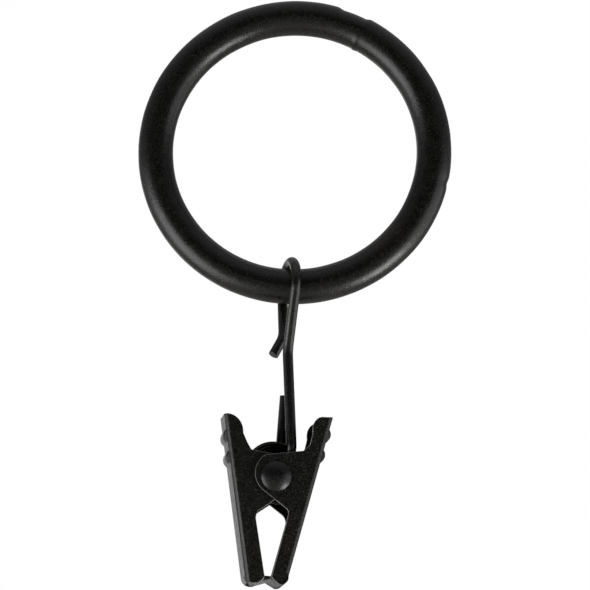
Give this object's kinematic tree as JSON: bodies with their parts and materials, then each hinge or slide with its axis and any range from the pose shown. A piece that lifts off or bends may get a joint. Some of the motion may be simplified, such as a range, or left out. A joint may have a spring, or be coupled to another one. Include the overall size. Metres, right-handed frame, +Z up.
{
  "type": "curtain ring with clip",
  "caption": "Dark steel curtain ring with a bent wire hook that carries a sprung spreader clip for holding a curtain's top edge.",
  "frame": {"origin": "centre of the ring's hole", "axes": "+Y along the curtain rod through the ring's hole, towards the back; +Z up, the clip hangs towards -Z; +X to the right seen from the front"},
  "size_m": [0.049, 0.0113, 0.0934],
  "materials": {
    "ring_steel": "satin near-black lacquer over steel bar",
    "wire_steel": "satin near-black lacquer over steel wire",
    "clip_steel": "satin near-black lacquer over pressed sheet",
    "spring_steel": "dark oiled spring wire",
    "rivet_steel": "satin near-black lacquer over steel"
  },
  "bodies": {
    "ring": {"ring": "ring_steel"},
    "hook": {"hook": "wire_steel"},
    "clip": {"outer_jaw": "clip_steel", "rivet": "rivet_steel", "spring": "spring_steel"},
    "jaw": {"inner_jaw": "clip_steel"}
  },
  "joints": [
    {"name": "hook_swing", "type": "hinge", "parent": "ring", "child": "hook", "pos_m": [0, 0, -0.02175], "axis": [1, 0, 0], "range_deg": [-90, 90]},
    {"name": "clip_swing", "type": "hinge", "parent": "hook", "child": "clip", "pos_m": [0.00089, 0.00028, -0.049], "axis": [-0.3948, 0.9188, 0], "range_deg": [-20, 20]},
    {"name": "jaw_open", "type": "hinge", "parent": "clip", "child": "jaw", "pos_m": [-0.00083, 0.00013, -0.05223], "axis": [-0.1353, 0.988, 0.075], "range_deg": [0, 24], "stiffness_Nm_per_rad": 0.03, "springref_deg": -28.65, "deforming": ["spring"]}
  ]
}
